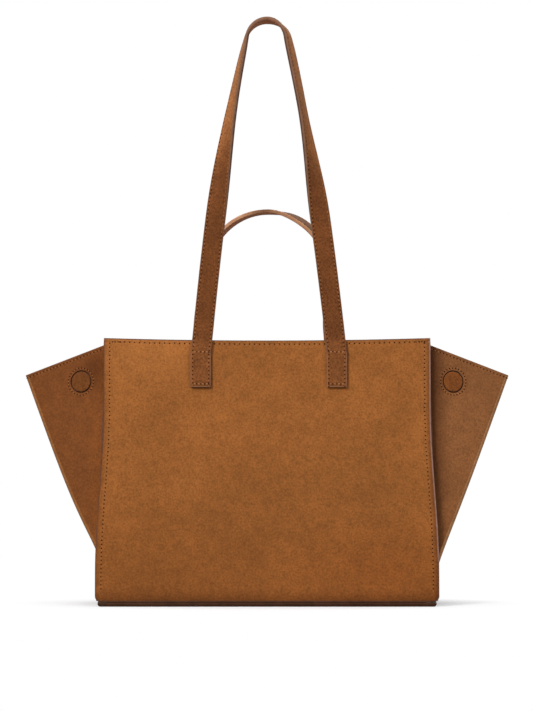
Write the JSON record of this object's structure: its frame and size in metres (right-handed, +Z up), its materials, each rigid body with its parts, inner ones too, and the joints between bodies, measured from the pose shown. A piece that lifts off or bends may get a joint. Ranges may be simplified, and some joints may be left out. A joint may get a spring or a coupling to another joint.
{
  "type": "trapeze bag",
  "caption": "Structured trapeze tote bag in tan nubuck leather with flared side wings, covered magnet buttons, a long shoulder strap and a short hand handle.",
  "frame": {"origin": "middle of the base on the floor", "axes": "+Z up, the wall with the long strap faces -Y, +X to the right as seen from the front"},
  "size_m": [0.487, 0.12, 0.59],
  "materials": {
    "wall_leather": "tan nubuck with a soft brushed nap",
    "gusset_leather": "tan nubuck, a little darker than the walls",
    "strap_leather": "tan nubuck, brushed",
    "strap_backing": "smooth brown leather with painted edges",
    "facing_leather": "tan nubuck",
    "lining": "matt microsuede",
    "stiffener_board": "grey fibre board, hidden inside",
    "magnet": "nickel-plated, hidden inside"
  },
  "bodies": {
    "base": {"base_panel": "gusset_leather", "base_board": "stiffener_board", "base_lining": "lining", "left_gusset": "gusset_leather", "right_gusset": "gusset_leather", "left_gusset_lining": "lining", "right_gusset_lining": "lining", "left_side_stiffener": "stiffener_board", "right_side_stiffener": "stiffener_board"},
    "front_wall": {"front_panel": "wall_leather", "front_stiffener": "stiffener_board", "front_lining": "lining", "front_facing": "facing_leather", "left_strap_tab": "strap_leather", "right_strap_tab": "strap_leather"},
    "back_wall": {"back_panel": "wall_leather", "back_stiffener": "stiffener_board", "back_lining": "lining", "back_facing": "facing_leather", "left_handle_tab": "strap_leather", "right_handle_tab": "strap_leather"},
    "shoulder_strap": {"shoulder_strap": "strap_leather", "shoulder_strap_backing": "strap_backing"},
    "hand_handle": {"hand_handle": "strap_leather", "hand_handle_backing": "strap_backing"},
    "left_front_wing": {"left_front_wing_stiffener": "stiffener_board", "left_front_button": "wall_leather", "left_front_magnet": "magnet"},
    "left_back_wing": {"left_back_wing_stiffener": "stiffener_board", "left_back_button": "wall_leather", "left_back_magnet": "magnet"},
    "right_front_wing": {"right_front_wing_stiffener": "stiffener_board", "right_front_button": "wall_leather", "right_front_magnet": "magnet"},
    "right_back_wing": {"right_back_wing_stiffener": "stiffener_board", "right_back_button": "wall_leather", "right_back_magnet": "magnet"}
  },
  "joints": [
    {"name": "front_wall_tilt", "type": "hinge", "parent": "base", "child": "front_wall", "pos_m": [0, -0.06, 0.005], "axis": [1, 0, 0], "range_deg": [-3, 5], "deforming": ["left_gusset", "right_gusset", "left_gusset_lining", "right_gusset_lining"]},
    {"name": "back_wall_tilt", "type": "hinge", "parent": "base", "child": "back_wall", "pos_m": [0, 0.06, 0.005], "axis": [-1, 0, 0], "range_deg": [-3, 5]},
    {"name": "left_front_wing_fold", "type": "hinge", "parent": "front_wall", "child": "left_front_wing", "pos_m": [-0.1575, -0.05657, 0.00569], "axis": [0, 0.0911, 0.9958], "range_deg": [-14, 8.56]},
    {"name": "left_back_wing_fold", "type": "hinge", "parent": "back_wall", "child": "left_back_wing", "pos_m": [-0.1575, 0.05657, 0.00569], "axis": [0, 0.0911, -0.9958], "range_deg": [-14, 8.56]},
    {"name": "right_front_wing_fold", "type": "hinge", "parent": "front_wall", "child": "right_front_wing", "pos_m": [0.1575, -0.05657, 0.00569], "axis": [0, -0.0911, -0.9958], "range_deg": [-14, 8.56]},
    {"name": "right_back_wing_fold", "type": "hinge", "parent": "back_wall", "child": "right_back_wing", "pos_m": [0.1575, 0.05657, 0.00569], "axis": [0, -0.0911, 0.9958], "range_deg": [-14, 8.56]},
    {"name": "shoulder_strap_swing", "type": "hinge", "parent": "front_wall", "child": "shoulder_strap", "pos_m": [0, -0.04125, 0.25282], "axis": [1, 0, 0], "range_deg": [0, 133]},
    {"name": "hand_handle_swing", "type": "hinge", "parent": "back_wall", "child": "hand_handle", "pos_m": [0, 0.04125, 0.25282], "axis": [-1, 0, 0], "range_deg": [0, 170]}
  ],
  "couplings": [
    {"joint": "back_wall_tilt", "follows": "front_wall_tilt", "ratio": 1},
    {"joint": "left_front_wing_fold", "follows": "front_wall_tilt", "ratio": -2.72},
    {"joint": "left_back_wing_fold", "follows": "front_wall_tilt", "ratio": -2.72},
    {"joint": "right_front_wing_fold", "follows": "front_wall_tilt", "ratio": -2.72},
    {"joint": "right_back_wing_fold", "follows": "front_wall_tilt", "ratio": -2.72}
  ]
}
